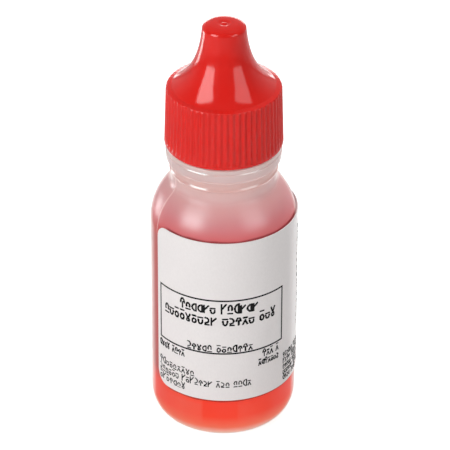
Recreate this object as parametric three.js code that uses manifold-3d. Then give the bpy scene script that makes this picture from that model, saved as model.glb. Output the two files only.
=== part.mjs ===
// Dropper bottle: a 30 ml translucent squeeze bottle of indicator solution, with a wrap-round
// label, a press-fit dropper tip and a ribbed, spire-topped screw cap that seals the tip.
// Millimetres, +Z up. The origin is the centre of the base, on the plane the bottle stands on,
// and the front of the label faces -Y.

import * as THREE from 'three';
import { mergeVertices } from 'three/addons/utils/BufferGeometryUtils.js';
import Module from 'manifold-3d';

const wasm = await Module();
wasm.setup();

// ---- driving dimensions, mm -------------------------------------------------------------

const FULL_TURN = 2 * Math.PI;
const ROUND_STEPS = 60; // facets round every body of revolution on the shared axis
const FINE_ROUND_STEPS = 36; // facets round the small tip pieces
const MERGE_TOLERANCE = 1e-4;
const CUT_MARGIN = 1; // how far a cutting tool reaches past what it cuts

// blow-moulded body
const BODY_R = 15.5;
const WALL = 0.9;
const WALL_TOP_Z = 47.5; // the straight wall ends and the shoulder dome begins
const CORNER_ACROSS = 3.35; // elliptical rounding between the wall and the resting ring
const CORNER_UP = 5.1;
const RING_INNER_R = 10.6; // the flat resting ring runs from here out to the corner
const PUNT_RISE = 1.4; // hollow under the base
const FLOOR = 1.05;
const CORNER_INNER_UP = 6;

// shoulder and neck
const DOME_CENTRE_R = 3.17; // the shoulder is an arc about this radius, at WALL_TOP_Z
const DOME_R = 12.33;
const DOME_SWEEP = THREE.MathUtils.degToRad(44);
const INNER_DOME_SWEEP = THREE.MathUtils.degToRad(50);
const WAIST_R = 11.15;
const WAIST_Z = 58.1;
const INNER_WAIST_R = 9.75;
const INNER_WAIST_Z = 58.3;

// neck below the cap: a small bead, a shallow groove, then a collar with a step in its side
const BEAD_R = 11.5;
const BEAD_Z = 60.1;
const BEAD_HALF = 0.45; // height of the bead above and below its crest
const GROOVE_R = 11.25;
const GROOVE_TOP_Z = 61.8;
const COLLAR_R = 12.25;
const COLLAR_FOOT_R = 12.15;
const COLLAR_FOOT_Z = 62.6;
const COLLAR_STEP_Z = 64.35;
const COLLAR_STEP_UP = 0.25;
const COLLAR_UPPER_R = 12.05;
const COLLAR_TOP_Z = 65.5;
const COLLAR_BEVEL = 0.2;

// neck finish: a single-start right-hand thread, 8 turns to the inch
const NECK_R = 9.85;
const NECK_TOP_Z = 77;
const LIP_BEVEL = 0.3;
const BORE_R = 8.25;
const BORE_END_Z = 65;
const BORE_FLARE_Z = 62.5;
const THREAD_PITCH = 3.175;
const THREAD_TURNS = 1.5;
const THREAD_START_Z = 68.6;
const THREAD_ROOT_WIDTH = 1.9;
const THREAD_CREST_WIDTH = 0.8;
const THREAD_HEIGHT = 1.1;
const THREAD_BURY = 0.3; // depth of the ridge's foot inside the wall it stands on
const THREAD_RUN_OUT = THREE.MathUtils.degToRad(20);

// screw cap
const CAP_BOTTOM_Z = 65.8;
const CAP_LIP_R = 12.05;
const CAP_FOOT_R = 12.5; // largest skirt radius, just above the lip
const CAP_FOOT_Z = 66.5;
const CAP_DRAFT_R = 12.155; // the skirt drafts in to this radius
const CAP_DRAFT_Z = 78.5;
const CAP_SHOULDER_R = 11.95; // outer corner of the ribs' tops
const CAP_SHOULDER_Z = 79.1;
const CAP_RIM_R = 10.91; // foot of the concave spire
const CAP_RIM_Z = 79.35;
const SPIRE_R = 4.09; // the spire closes on this radius exponentially
const SPIRE_DECAY = 0.194; // per mm of height
const SPIRE_TOP_Z = 92.75;
const CAP_TOP_Z = 93.76;
const CAP_CROWN = 0.12; // dome on the flat of the spire's top
const CAP_CROWN_R = 2.2;
const RIBS = 60;
const RIB_DEPTH = 0.32;
const RIB_POINTS = 4;
const RIB_LIP_Z = 66.6; // ribs start above the plain lip
const CAP_BORE_R = 11.1;
const CAP_BORE_BEVEL = 0.3;
const CAP_ROOF_Z = 78.3; // seats just over the dropper tip's flange
const SPIRE_INNER_R = 2.9;
const SPIRE_INNER_DROP = 2; // the inner curve is the outer one lowered by this much
const SPIRE_ROOF_Z = 92.7;
const CAP_THREAD_LIFT = 0.3; // the cap's ridge bears up against the underside of the bottle's
const CAP_THREAD_HEIGHT = 1;
const CAP_THREAD_ROOT_WIDTH = 1.6;
const CAP_THREAD_CREST_WIDTH = 0.6;

// dropper tip
const TIP_FLANGE_R = 9.5;
const TIP_FLANGE_TOP_Z = 78.2;
const TIP_FLANGE_GAP = 0.02;
const TIP_FLANGE_BEVEL = 0.3;
const TIP_PLUG_R = 8.2;
const TIP_PLUG_BOTTOM_Z = 69;
const TIP_PLUG_LEAD = 0.6; // bevel that guides the plug into the bore
const TIP_PLUG_BORE_R = 7.2;
const TIP_PLUG_BORE_TOP_Z = 75.5;
const TIP_ORIFICE_R = 0.5;
const TIP_TOP_Z = 91.3;
const TIP_ORIFICE_DEPTH = 2;
const TIP_FUNNEL = [[1.1, 88.3], [2.2, 81], [4.2, 77]]; // bore below the orifice, [radius, z]
const TIP_NOZZLE = [ // outside of the nozzle from the flange up, [radius, z]
  [5.4, TIP_FLANGE_TOP_Z],
  [4.5, 78.8],
  [4, 79.9],
  [3.1, 86],
  [2.4, 90],
  [2, 90.9],
  [1.4, TIP_TOP_Z],
];

// sealing pin in the top of the spire
const SEAL_DISC_R = 3.18;
const SEAL_DISC_BOTTOM_Z = 91.45;
const SEAL_DISC_TOP_Z = 92.65;
const SEAL_PIN_R = 0.4;
const SEAL_PIN_TIP_R = 0.25;
const SEAL_PIN_BOTTOM_Z = 89.9;
const SEAL_PIN_TAPER = 0.3;

// label
const LABEL_INNER_R = 15.58;
const LABEL_OUTER_R = 15.72;
const LABEL_BOTTOM_Z = 10.5;
const LABEL_TOP_Z = 50.1;
const LABEL_GAP_HALF = THREE.MathUtils.degToRad(30); // the wrap stops short of a full circle
const LABEL_GAP_CENTRE = THREE.MathUtils.degToRad(178);
const LABEL_CORNER = 3.2;
const LABEL_CORNER_STEPS = 5;

// liquid
const LIQUID_CLEARANCE = 0.1;
const LIQUID_TOP_Z = 46.6;

// ---- helpers ----------------------------------------------------------------------------

// Points of an arc of an ellipse, from angle a to angle b, both ends included.
function arc(centreR, centreZ, across, up, a, b, steps) {
  const points = [];
  for (let i = 0; i <= steps; i += 1) {
    const t = a + ((b - a) * i) / steps;
    points.push([centreR + across * Math.cos(t), centreZ + up * Math.sin(t)]);
  }
  return points;
}

// Points of a quadratic curve after its start point.
function blend(start, pull, end, steps) {
  const curve = new THREE.QuadraticBezierCurve(
    new THREE.Vector2(...start),
    new THREE.Vector2(...pull),
    new THREE.Vector2(...end),
  );
  return curve.getPoints(steps).slice(1).map((p) => [p.x, p.y]);
}

function signedVolume(positions, triangles) {
  const corner = (i) => new THREE.Vector3().fromArray(positions, 3 * triangles[i]);
  let total = 0;
  for (let i = 0; i < triangles.length; i += 3) {
    total += corner(i).dot(corner(i + 1).cross(corner(i + 2)));
  }
  return total / 6;
}

// A manifold solid from a closed three.js geometry, with its faces turned outwards.
function solidFrom(geometry) {
  const bare = geometry.clone();
  bare.deleteAttribute('normal');
  bare.deleteAttribute('uv');
  const merged = mergeVertices(bare, MERGE_TOLERANCE);
  const positions = merged.attributes.position.array;
  const index = merged.index.array;
  const triangles = [];
  for (let i = 0; i < index.length; i += 3) {
    const [a, b, c] = [index[i], index[i + 1], index[i + 2]];
    if (a !== b && b !== c && c !== a) triangles.push(a, b, c);
  }
  if (signedVolume(positions, triangles) < 0) triangles.reverse();
  const mesh = new wasm.Mesh({
    numProp: 3,
    vertProperties: new Float32Array(positions),
    triVerts: new Uint32Array(triangles),
  });
  return new wasm.Manifold(mesh);
}

function geometryFrom(solid) {
  const { vertProperties, triVerts } = solid.getMesh();
  const geometry = new THREE.BufferGeometry();
  geometry.setAttribute('position', new THREE.BufferAttribute(vertProperties, 3));
  geometry.setIndex(new THREE.BufferAttribute(triVerts, 1));
  geometry.computeVertexNormals();
  return geometry;
}

// Body of revolution about +Z from a profile of [radius, z] points.
function turned(profile, steps = ROUND_STEPS) {
  const points = profile.map(([r, z]) => new THREE.Vector2(r, z));
  return solidFrom(new THREE.LatheGeometry(points, steps).rotateX(Math.PI / 2));
}

// A single helical ridge: a trapezoid extruded straight, then wrapped round the axis, starting
// at the +X direction. The side is +1 for a ridge that stands outwards from its wall and -1 for
// one that stands inwards. Both ends run out into the wall.
function helicalRidge({ wallR, side, height, rootWidth, crestWidth, startZ }) {
  const section = new THREE.Shape([
    new THREE.Vector2(-THREAD_BURY, -rootWidth / 2),
    new THREE.Vector2(0, -rootWidth / 2),
    new THREE.Vector2(height, -crestWidth / 2),
    new THREE.Vector2(height, crestWidth / 2),
    new THREE.Vector2(0, rootWidth / 2),
    new THREE.Vector2(-THREAD_BURY, rootWidth / 2),
  ]);
  const sweep = THREAD_TURNS * FULL_TURN;
  const geometry = new THREE.ExtrudeGeometry(section, {
    depth: sweep,
    steps: Math.round(THREAD_TURNS * ROUND_STEPS),
    bevelEnabled: false,
  });
  const position = geometry.attributes.position;
  for (let i = 0; i < position.count; i += 1) {
    const along = position.getZ(i);
    const nearestEnd = Math.min(along, sweep - along);
    const rise = Math.min(1, nearestEnd / THREAD_RUN_OUT);
    const out = position.getX(i);
    const standing = out > 0 ? (out + THREAD_BURY / 2) * rise - THREAD_BURY / 2 : out;
    const radius = wallR + side * standing;
    const z = startZ + position.getY(i) + (THREAD_PITCH * along) / FULL_TURN;
    position.setXYZ(i, radius * Math.cos(along), radius * Math.sin(along), z);
  }
  return solidFrom(geometry);
}

// Radius of the cap's concave spire at a height.
function spireRadius(z) {
  return SPIRE_R + (CAP_RIM_R - SPIRE_R) * Math.exp(-SPIRE_DECAY * (z - CAP_RIM_Z));
}

function spireInnerRadius(z) {
  const fall = Math.exp(-SPIRE_DECAY * (z + SPIRE_INNER_DROP - CAP_RIM_Z));
  return SPIRE_INNER_R + (CAP_RIM_R - SPIRE_R) * fall;
}

// Points along a radius curve between two heights, both ends included.
function alongCurve(radiusAt, fromZ, toZ, steps) {
  const points = [];
  for (let i = 0; i <= steps; i += 1) {
    const z = fromZ + ((toZ - fromZ) * i) / steps;
    points.push([radiusAt(z), z]);
  }
  return points;
}

// ---- bottle -----------------------------------------------------------------------------

// Inside of the bottle from the wall's foot down to the axis, moved inwards by a clearance.
function floorProfile(clearance, steps) {
  const ringR = BODY_R - CORNER_ACROSS;
  const floorZ = FLOOR + clearance;
  const wallR = BODY_R - WALL - clearance;
  const across = wallR - ringR;
  const up = CORNER_INNER_UP - floorZ;
  const puntZ = floorZ + PUNT_RISE;
  return [
    ...arc(ringR, CORNER_INNER_UP, across, up, 0, -Math.PI / 2, steps),
    [RING_INNER_R, floorZ],
    ...blend([RING_INNER_R, floorZ], [RING_INNER_R / 2, puntZ], [0, puntZ], 3),
  ];
}

function bottleSolid() {
  const ringR = BODY_R - CORNER_ACROSS;
  const domeEnd = arc(DOME_CENTRE_R, WALL_TOP_Z, DOME_R, DOME_R, 0, DOME_SWEEP, 7);
  const [endR, endZ] = domeEnd[domeEnd.length - 1];
  const fillet = blend(
    [endR, endZ],
    [WAIST_R, endZ + (endR - WAIST_R) / Math.tan(DOME_SWEEP)],
    [WAIST_R, WAIST_Z],
    3,
  );
  const innerDome = arc(
    DOME_CENTRE_R,
    WALL_TOP_Z,
    DOME_R - WALL,
    DOME_R - WALL,
    INNER_DOME_SWEEP,
    0,
    6,
  );
  const profile = [
    [0, PUNT_RISE],
    ...blend([0, PUNT_RISE], [RING_INNER_R / 2, PUNT_RISE], [RING_INNER_R, 0], 3),
    ...arc(ringR, CORNER_UP, CORNER_ACROSS, CORNER_UP, -Math.PI / 2, 0, 6),
    ...domeEnd,
    ...fillet,
    [WAIST_R, BEAD_Z - BEAD_HALF],
    [BEAD_R, BEAD_Z],
    [GROOVE_R, BEAD_Z + BEAD_HALF],
    [GROOVE_R, GROOVE_TOP_Z],
    [COLLAR_FOOT_R, COLLAR_FOOT_Z],
    [COLLAR_R, COLLAR_STEP_Z],
    [COLLAR_UPPER_R, COLLAR_STEP_Z + COLLAR_STEP_UP],
    [COLLAR_UPPER_R, COLLAR_TOP_Z - COLLAR_BEVEL],
    [COLLAR_UPPER_R - COLLAR_BEVEL, COLLAR_TOP_Z],
    [NECK_R, COLLAR_TOP_Z],
    [NECK_R, NECK_TOP_Z - LIP_BEVEL],
    [NECK_R - LIP_BEVEL, NECK_TOP_Z],
    [BORE_R + LIP_BEVEL, NECK_TOP_Z],
    [BORE_R, NECK_TOP_Z - LIP_BEVEL],
    [BORE_R, BORE_END_Z],
    [INNER_WAIST_R, BORE_FLARE_Z],
    [INNER_WAIST_R, INNER_WAIST_Z],
    ...innerDome,
    ...floorProfile(0, 4),
  ];
  const thread = helicalRidge({
    wallR: NECK_R,
    side: 1,
    height: THREAD_HEIGHT,
    rootWidth: THREAD_ROOT_WIDTH,
    crestWidth: THREAD_CREST_WIDTH,
    startZ: THREAD_START_Z,
  });
  return turned(profile).add(thread);
}

// ---- liquid -----------------------------------------------------------------------------

function liquidSolid() {
  const profile = [
    [0, LIQUID_TOP_Z],
    [BODY_R - WALL - LIQUID_CLEARANCE, LIQUID_TOP_Z],
    ...floorProfile(LIQUID_CLEARANCE, 4),
  ];
  return turned(profile);
}

// ---- label ------------------------------------------------------------------------------

// A prism through the left side of the wrap: what it removes is the gap between the label's
// two ends, and its flared mouth rounds their four corners.
function labelGapCutter() {
  const midR = (LABEL_INNER_R + LABEL_OUTER_R) / 2;
  const half = midR * Math.sin(LABEL_GAP_HALF);
  const across = LABEL_CORNER * Math.cos(LABEL_GAP_HALF);
  const corner = (side, endZ, up) => {
    const points = [];
    for (let i = 0; i <= LABEL_CORNER_STEPS; i += 1) {
      const t = (i / LABEL_CORNER_STEPS) * (Math.PI / 2);
      const out = half + across * (1 - Math.cos(t));
      const z = endZ - up * LABEL_CORNER * (1 - Math.sin(t));
      points.push(new THREE.Vector2(side * out, z));
    }
    points.push(new THREE.Vector2(side * (half + across), endZ + up * CUT_MARGIN));
    return points;
  };
  const outline = new THREE.Shape([
    ...corner(1, LABEL_TOP_Z, 1),
    ...corner(-1, LABEL_TOP_Z, 1).reverse(),
    ...corner(-1, LABEL_BOTTOM_Z, -1),
    ...corner(1, LABEL_BOTTOM_Z, -1).reverse(),
  ]);
  const geometry = new THREE.ExtrudeGeometry(outline, {
    depth: BODY_R + 2 * CUT_MARGIN,
    bevelEnabled: false,
  });
  geometry.rotateX(Math.PI / 2).rotateZ(Math.PI / 2 + LABEL_GAP_CENTRE);
  return solidFrom(geometry);
}

function labelSolid() {
  const wrap = turned([
    [LABEL_INNER_R, LABEL_BOTTOM_Z],
    [LABEL_OUTER_R, LABEL_BOTTOM_Z],
    [LABEL_OUTER_R, LABEL_TOP_Z],
    [LABEL_INNER_R, LABEL_TOP_Z],
    [LABEL_INNER_R, LABEL_BOTTOM_Z],
  ]);
  return wrap.subtract(labelGapCutter());
}

// ---- dropper tip ------------------------------------------------------------------------

function dropperTipSolid() {
  const flangeBottomZ = NECK_TOP_Z + TIP_FLANGE_GAP;
  const profile = [
    [TIP_ORIFICE_R, TIP_TOP_Z],
    [TIP_ORIFICE_R, TIP_TOP_Z - TIP_ORIFICE_DEPTH],
    ...TIP_FUNNEL,
    [TIP_PLUG_BORE_R, TIP_PLUG_BORE_TOP_Z],
    [TIP_PLUG_BORE_R, TIP_PLUG_BOTTOM_Z],
    [TIP_PLUG_R - TIP_PLUG_LEAD, TIP_PLUG_BOTTOM_Z],
    [TIP_PLUG_R, TIP_PLUG_BOTTOM_Z + 2 * TIP_PLUG_LEAD],
    [TIP_PLUG_R, flangeBottomZ],
    [TIP_FLANGE_R, flangeBottomZ],
    [TIP_FLANGE_R, TIP_FLANGE_TOP_Z - TIP_FLANGE_BEVEL],
    [TIP_FLANGE_R - TIP_FLANGE_BEVEL, TIP_FLANGE_TOP_Z],
    ...TIP_NOZZLE,
    [TIP_ORIFICE_R, TIP_TOP_Z],
  ];
  return turned(profile);
}

// ---- seal -------------------------------------------------------------------------------

function tipSealSolid() {
  const profile = [
    [0, SEAL_PIN_BOTTOM_Z],
    [SEAL_PIN_TIP_R, SEAL_PIN_BOTTOM_Z],
    [SEAL_PIN_R, SEAL_PIN_BOTTOM_Z + SEAL_PIN_TAPER],
    [SEAL_PIN_R, SEAL_DISC_BOTTOM_Z],
    [SEAL_DISC_R, SEAL_DISC_BOTTOM_Z],
    [SEAL_DISC_R, SEAL_DISC_TOP_Z],
    [0, SEAL_DISC_TOP_Z],
  ];
  return turned(profile, FINE_ROUND_STEPS);
}

// ---- screw cap --------------------------------------------------------------------------

// Outside of the cap from its lip up to the axis, with the skirt set back by an inset.
function capOutside(inset) {
  const across = spireRadius(SPIRE_TOP_Z) - CAP_CROWN_R;
  const up = CAP_TOP_Z - SPIRE_TOP_Z;
  return [
    [CAP_LIP_R, CAP_BOTTOM_Z],
    [CAP_FOOT_R - inset, CAP_FOOT_Z],
    [CAP_DRAFT_R - inset, CAP_DRAFT_Z],
    [CAP_SHOULDER_R - inset, CAP_SHOULDER_Z],
    ...alongCurve(spireRadius, CAP_RIM_Z, SPIRE_TOP_Z, 16),
    ...arc(CAP_CROWN_R, SPIRE_TOP_Z, across, up, 0, Math.PI / 2, 5).slice(1),
    [0, CAP_TOP_Z + CAP_CROWN],
  ];
}

// A tapered prism with one rounded rib per pitch, cut to the cap's outside.
function ribSolid() {
  const points = [];
  for (let i = 0; i < RIBS * RIB_POINTS; i += 1) {
    const angle = (i / (RIBS * RIB_POINTS)) * FULL_TURN;
    const wave = 0.5 + 0.5 * Math.cos(RIBS * angle);
    const radius = 1 - (RIB_DEPTH * (1 - wave)) / CAP_FOOT_R;
    points.push(new THREE.Vector2(radius * Math.cos(angle), radius * Math.sin(angle)));
  }
  const height = CAP_RIM_Z - RIB_LIP_Z;
  const geometry = new THREE.ExtrudeGeometry(new THREE.Shape(points), {
    depth: height,
    bevelEnabled: false,
  });
  const position = geometry.attributes.position;
  for (let i = 0; i < position.count; i += 1) {
    const up = position.getZ(i) / height;
    const radius = THREE.MathUtils.lerp(CAP_FOOT_R, CAP_DRAFT_R, up);
    const [x, y] = [position.getX(i) * radius, position.getY(i) * radius];
    position.setXYZ(i, x, y, RIB_LIP_Z + up * height);
  }
  return solidFrom(geometry).intersect(turned([[0, CAP_BOTTOM_Z], ...capOutside(0)]));
}

function screwCapSolid() {
  const core = turned([[0, CAP_BOTTOM_Z], ...capOutside(RIB_DEPTH)]);
  const lip = turned([
    [0, CAP_BOTTOM_Z],
    [CAP_LIP_R, CAP_BOTTOM_Z],
    [CAP_FOOT_R, CAP_FOOT_Z],
    [CAP_FOOT_R, RIB_LIP_Z],
    [0, RIB_LIP_Z],
  ]);
  const hollow = turned([
    [0, CAP_BOTTOM_Z - CUT_MARGIN],
    [CAP_BORE_R + CAP_BORE_BEVEL, CAP_BOTTOM_Z - CUT_MARGIN],
    [CAP_BORE_R + CAP_BORE_BEVEL, CAP_BOTTOM_Z],
    [CAP_BORE_R, CAP_BOTTOM_Z + CAP_BORE_BEVEL],
    [CAP_BORE_R, CAP_ROOF_Z],
    ...alongCurve(spireInnerRadius, CAP_ROOF_Z, SPIRE_ROOF_Z, 10),
    [0, SPIRE_ROOF_Z],
  ]);
  const thread = helicalRidge({
    wallR: CAP_BORE_R,
    side: -1,
    height: CAP_THREAD_HEIGHT,
    rootWidth: CAP_THREAD_ROOT_WIDTH,
    crestWidth: CAP_THREAD_CREST_WIDTH,
    startZ: THREAD_START_Z - THREAD_PITCH / 2 + CAP_THREAD_LIFT,
  });
  return core.add(ribSolid()).add(lip).subtract(hollow).add(thread);
}

// ---- assembly ---------------------------------------------------------------------------

const group = new THREE.Group();
group.name = 'dropper_bottle';

function addPiece(name, solid, color, roughness, extra = {}) {
  const material = new THREE.MeshStandardMaterial({ color, roughness, metalness: 0, ...extra });
  const mesh = new THREE.Mesh(geometryFrom(solid), material);
  mesh.name = name;
  group.add(mesh);
}

const SEE_THROUGH = { transparent: true, opacity: 0.6 };

addPiece('bottle', bottleSolid(), 0xdcc3c0, 0.4, SEE_THROUGH);
addPiece('indicator_solution', liquidSolid(), 0xe84a2f, 0.1);
addPiece('label', labelSolid(), 0xededeb, 0.55);
addPiece('dropper_tip', dropperTipSolid(), 0xe9e6e2, 0.4, SEE_THROUGH);
addPiece('tip_seal', tipSealSolid(), 0xf0eeea, 0.5);
addPiece('screw_cap', screwCapSolid(), 0xdc3028, 0.25);

export default group;
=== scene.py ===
"""Looks for the dropper bottle, built in the CAD part's frame: metres, +Z up, label facing -Y."""

import math
import random

import bmesh
import bpy
from mathutils import Matrix, Vector


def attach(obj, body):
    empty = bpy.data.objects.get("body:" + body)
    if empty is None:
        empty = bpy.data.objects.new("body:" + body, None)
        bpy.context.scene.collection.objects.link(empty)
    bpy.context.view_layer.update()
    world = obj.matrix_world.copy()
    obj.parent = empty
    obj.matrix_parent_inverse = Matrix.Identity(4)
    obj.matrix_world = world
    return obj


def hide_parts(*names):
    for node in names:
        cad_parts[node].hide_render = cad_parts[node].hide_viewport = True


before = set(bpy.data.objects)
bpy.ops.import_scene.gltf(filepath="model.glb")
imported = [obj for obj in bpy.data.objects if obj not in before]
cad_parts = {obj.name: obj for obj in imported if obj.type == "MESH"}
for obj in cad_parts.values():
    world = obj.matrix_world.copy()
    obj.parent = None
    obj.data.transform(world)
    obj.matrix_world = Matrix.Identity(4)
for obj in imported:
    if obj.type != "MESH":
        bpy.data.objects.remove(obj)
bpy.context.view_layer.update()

MM = 0.001
TURN = 2 * math.pi

# Dimensions in millimetres, as in the CAD part.
BODY_R = 15.5
WALL = 0.9
WALL_TOP_Z = 47.5
CORNER_ACROSS = 3.35
CORNER_UP = 5.1
RING_INNER_R = 10.6
PUNT_RISE = 1.4
FLOOR = 1.05
FLOOR_CORNER_Z = 6.0  # where the inside of the wall starts to curve in to the floor
DOME_CENTRE_R = 3.17
DOME_R = 12.33
DOME_SWEEP = math.radians(44)
INNER_DOME_SWEEP = math.radians(50)
WAIST_R = 11.15
WAIST_Z = 58.1
INNER_WAIST_R = 9.75
INNER_WAIST_Z = 58.3
BEAD_R = 11.5
BEAD_Z = 60.1
BEAD_HALF = 0.45
GROOVE_R = 11.25
GROOVE_TOP_Z = 61.8
COLLAR_FOOT_R = 12.15
COLLAR_FOOT_Z = 62.6
COLLAR_R = 12.25
COLLAR_STEP_Z = 64.35
COLLAR_STEP_UP = 0.25
COLLAR_UPPER_R = 12.05
COLLAR_TOP_Z = 65.5
NECK_R = 9.85
NECK_FOOT_Z = 66.2  # the neck's fine mesh, which carries the thread, starts here
NECK_THREAD_TOP_Z = 76.2
NECK_TOP_Z = 77.0
BORE_R = 8.25
THREAD_PITCH = 3.175
THREAD_TURNS = 1.5
THREAD_START_Z = 68.6
NECK_THREAD = (1.1, 1.9, 0.8)  # height, width at the root and width at the crest
CAP_THREAD = (1.0, 1.6, 0.6)
CAP_THREAD_START_Z = THREAD_START_Z - THREAD_PITCH / 2 + 0.3
RUN_OUT = math.radians(20)
TIP_TOP_Z = 91.3
TIP_FLANGE_R = 9.5
TIP_FLANGE_TOP_Z = 78.2
TIP_FLANGE_Z = NECK_TOP_Z + 0.02
PLUG_R = 8.2
PLUG_INNER_R = 7.2
PLUG_BOTTOM_Z = 69.0
ORIFICE_R = 0.5
SEAL_R = 3.18
SEAL_BOTTOM_Z = 91.45
SEAL_TOP_Z = 92.65
PIN_R = 0.4
PIN_BOTTOM_Z = 89.9
CAP_BOTTOM_Z = 65.8
CAP_BOTTOM_R = 12.05
CAP_FOOT_R = 12.5
CAP_FOOT_Z = 66.5
CAP_DRAFT_R = 12.155
CAP_DRAFT_Z = 78.5
CAP_SHOULDER_R = 11.95
CAP_SHOULDER_Z = 79.1
CAP_RIM_R = 10.91
CAP_RIM_Z = 79.35
SPIRE_R = 4.09
SPIRE_DECAY = 0.194
SPIRE_TOP_Z = 92.75
CAP_TOP_Z = 93.8
CAP_BORE_R = 11.1
CAP_ROOF_Z = 78.3
SPIRE_INNER_R = 2.9
SPIRE_INNER_DROP = 2.0
SPIRE_ROOF_Z = 92.7
CAP_THREAD_TOP_Z = 77.0
RIBS = 60
RIB_DEPTH = 0.33
RIB_PHASE = math.radians(2.4)
LABEL_INNER_R = 15.58
LABEL_OUTER_R = 15.72
LABEL_BOTTOM_Z = 10.5
LABEL_TOP_Z = 50.1
LABEL_START = math.radians(-152)
LABEL_SWEEP = math.radians(300)
LABEL_CORNER = 3.2
LIQUID_TOP_Z = 46.6
PARTING = math.radians(-154)  # azimuth of the mould's parting line; another is opposite
PARTING_COLUMNS = (0.0, 0.07, 0.14, 0.22, 0.34)  # mm from the line, for the ridge's shape


# ---- profiles ----------------------------------------------------------------------------


def line(a, b, steps):
    """Points from a to b, both ends included."""
    return [
        tuple(p + (q - p) * i / steps for p, q in zip(a, b)) for i in range(steps + 1)
    ]


def arc(r, z, across, up, start, end, steps):
    """Points of an arc of an ellipse centred at (r, z), angles in radians."""
    angles = [start + (end - start) * i / steps for i in range(steps + 1)]
    return [(r + across * math.cos(t), z + up * math.sin(t)) for t in angles]


def curve(a, pull, b, steps):
    """Points of a quadratic curve, both ends included."""
    points = []
    for i in range(steps + 1):
        t = i / steps
        weights = ((1 - t) ** 2, 2 * t * (1 - t), t * t)
        points.append(
            tuple(sum(w * p[k] for w, p in zip(weights, (a, pull, b))) for k in (0, 1))
        )
    return points


def rounded(corners, steps=5):
    """A profile through (r, z, radius) corners, each rounded by about its radius."""
    points = []
    for i, (r, z, radius) in enumerate(corners):
        if radius == 0 or i in (0, len(corners) - 1):
            points.append((r, z))
            continue
        here = Vector((r, z))
        before = Vector(corners[i - 1][:2]) - here
        after = Vector(corners[i + 1][:2]) - here
        half = before.angle(after) / 2
        reach = min(
            radius / math.tan(half), 0.49 * before.length, 0.49 * after.length
        )
        a = here + before.normalized() * reach
        b = here + after.normalized() * reach
        points += curve(tuple(a), (r, z), tuple(b), steps)
    return points


def smooth_step(x):
    x = min(1.0, max(0.0, x))
    return x * x * (3 - 2 * x)


# ---- mesh builders -----------------------------------------------------------------------


def even_columns(count):
    return [TURN * j / count for j in range(count)]


def make_object(name, points, faces, material, sharp=35.0):
    """A smooth-shaded mesh object from points in millimetres, faces turned outwards."""
    mesh = bpy.data.meshes.new(name)
    mesh.from_pydata([tuple(c * MM for c in p) for p in points], [], faces)
    work = bmesh.new()
    work.from_mesh(mesh)
    bmesh.ops.recalc_face_normals(work, faces=work.faces)
    work.to_mesh(mesh)
    work.free()
    mesh.polygons.foreach_set("use_smooth", [True] * len(mesh.polygons))
    mesh.set_sharp_from_angle(angle=math.radians(sharp))
    mesh.materials.append(material)
    obj = bpy.data.objects.new(name, mesh)
    bpy.context.scene.collection.objects.link(obj)
    return obj


def revolve(name, profile, columns, material, shape=None, sharp=35.0):
    """A body of revolution. The profile starts and ends on the axis, or closes on itself, and
    may cross the axis on the way. shape(r, z, angle) may move each point."""
    on_axis = profile[0][0] == 0
    if not on_axis and profile[0] == profile[-1]:
        profile = profile[:-1]
    points, rows = [], []
    for r, z in profile:
        if r == 0:
            rows.append([len(points)] * len(columns))
            points.append((0, 0, z))
            continue
        row = []
        for angle in columns:
            rr, zz = shape(r, z, angle) if shape else (r, z)
            row.append(len(points))
            points.append((rr * math.cos(angle), rr * math.sin(angle), zz))
        rows.append(row)
    if not on_axis:
        rows.append(rows[0])
    faces = []
    for low, high in zip(rows, rows[1:]):
        for j in range(len(columns)):
            k = (j + 1) % len(columns)
            face = tuple(dict.fromkeys((low[j], low[k], high[k], high[j])))
            if len(face) > 2:
                faces.append(face)
    return make_object(name, points, faces, material, sharp)


def thread_height(z, angle, start_z, height, root, crest):
    """How far a helical ridge stands out at a height and azimuth."""
    angle %= TURN
    best = 0.0
    for lap in range(2):
        along = angle + lap * TURN
        if along > THREAD_TURNS * TURN:
            continue
        off = abs(z - start_z - THREAD_PITCH * along / TURN)
        side = smooth_step((root / 2 - off) / (root / 2 - crest / 2))
        ends = min(along, THREAD_TURNS * TURN - along) / RUN_OUT
        best = max(best, height * side * smooth_step(ends))
    return best


# ---- materials ---------------------------------------------------------------------------


def srgb(r, g, b):
    """Linear colour from 0-255 display values."""
    out = []
    for value in (r, g, b):
        v = value / 255
        out.append(v / 12.92 if v <= 0.04045 else ((v + 0.055) / 1.055) ** 2.4)
    return (*out, 1.0)


HEIGHT_SPAN = 80.0  # mm; the wall's colours are set by height up to here


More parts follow.
